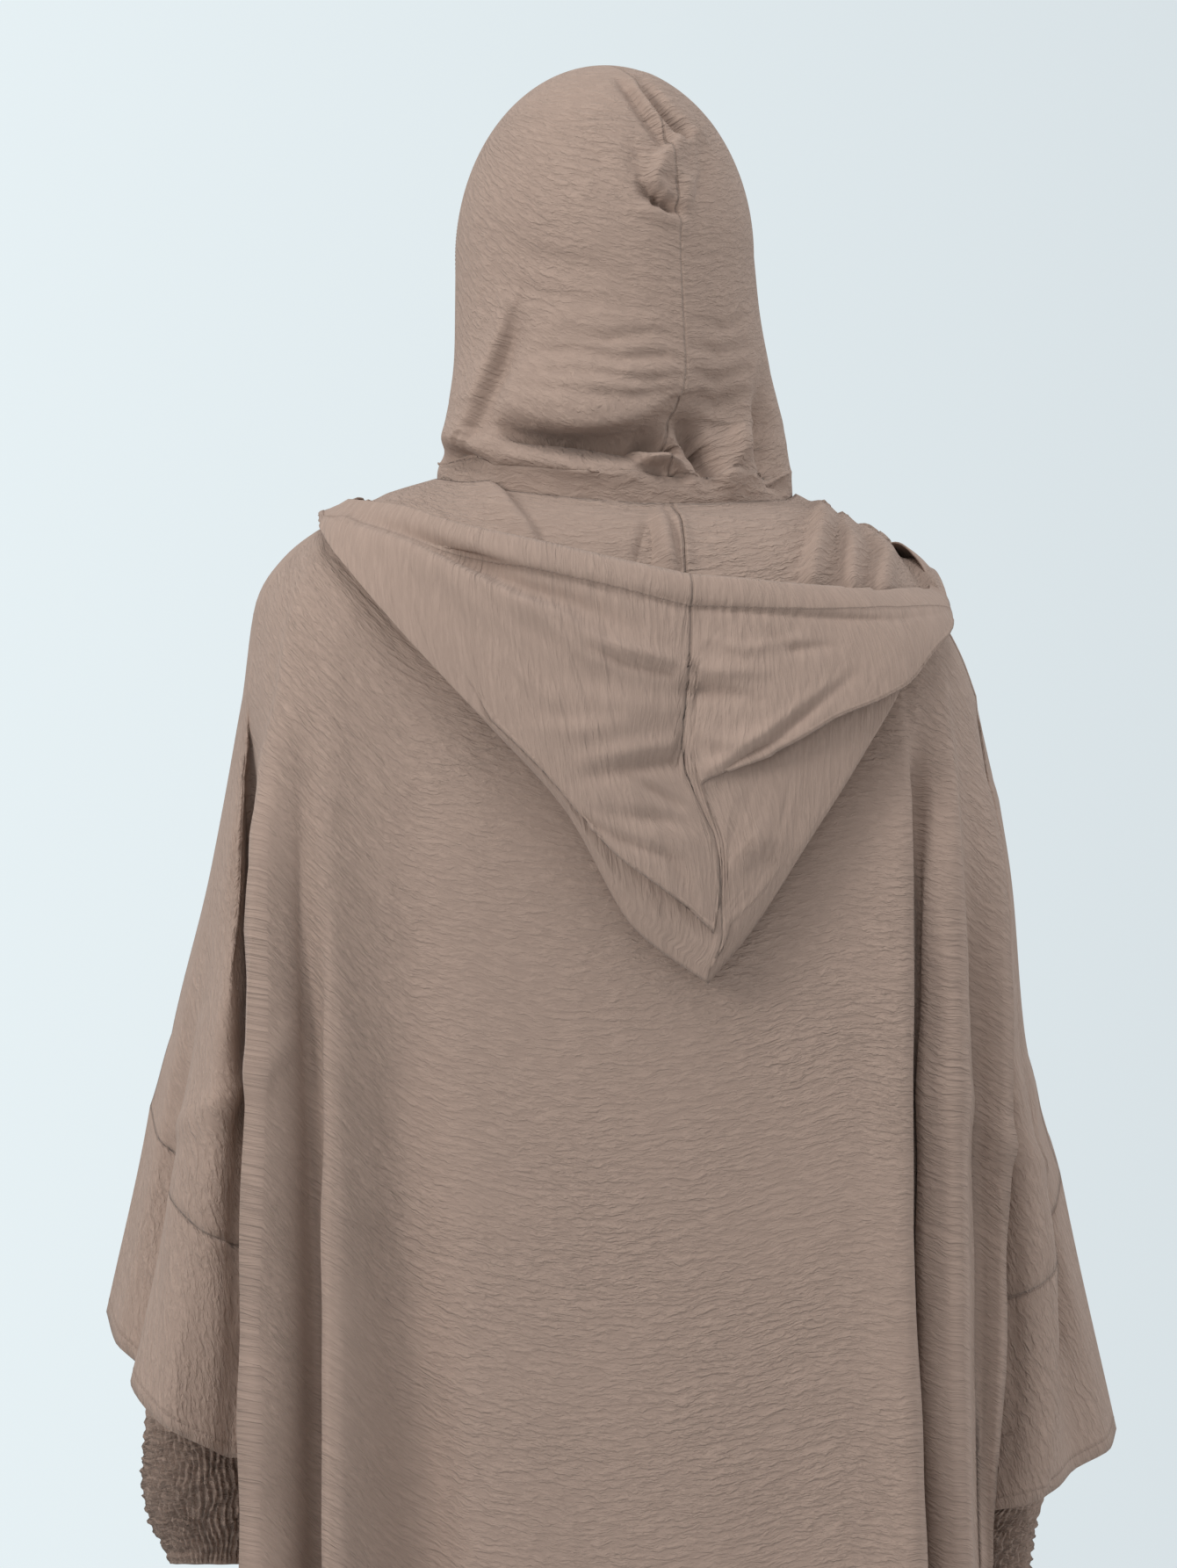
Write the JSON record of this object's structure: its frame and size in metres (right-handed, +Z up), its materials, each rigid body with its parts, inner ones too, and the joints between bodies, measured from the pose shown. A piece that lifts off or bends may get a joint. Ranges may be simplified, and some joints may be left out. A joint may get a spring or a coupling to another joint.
{
  "type": "hooded abaya",
  "caption": "Long loose abaya in taupe crinkled crepe with batwing sleeves, smocked inner cuffs, a head hood worn up and a large outer hood down the back",
  "frame": {"origin": "middle of the neck, where the garment hangs on the shoulders", "axes": "+Z up, +Y to the wearer's front, +X to the wearer's right"},
  "size_m": [0.5998, 0.388, 1.6299],
  "materials": {
    "crepe": "matt crinkled crepe",
    "smocked_crepe": "matt smocked crepe"
  },
  "bodies": {
    "root": {"back_panel": "crepe", "front_panel": "crepe", "sleeve_left": "crepe", "sleeve_right": "crepe", "cuff_left": "smocked_crepe", "cuff_right": "smocked_crepe", "neck_band": "crepe", "inner_hood_left": "crepe", "inner_hood_right": "crepe", "outer_hood_left": "crepe", "outer_hood_right": "crepe"}
  },
  "joints": []
}
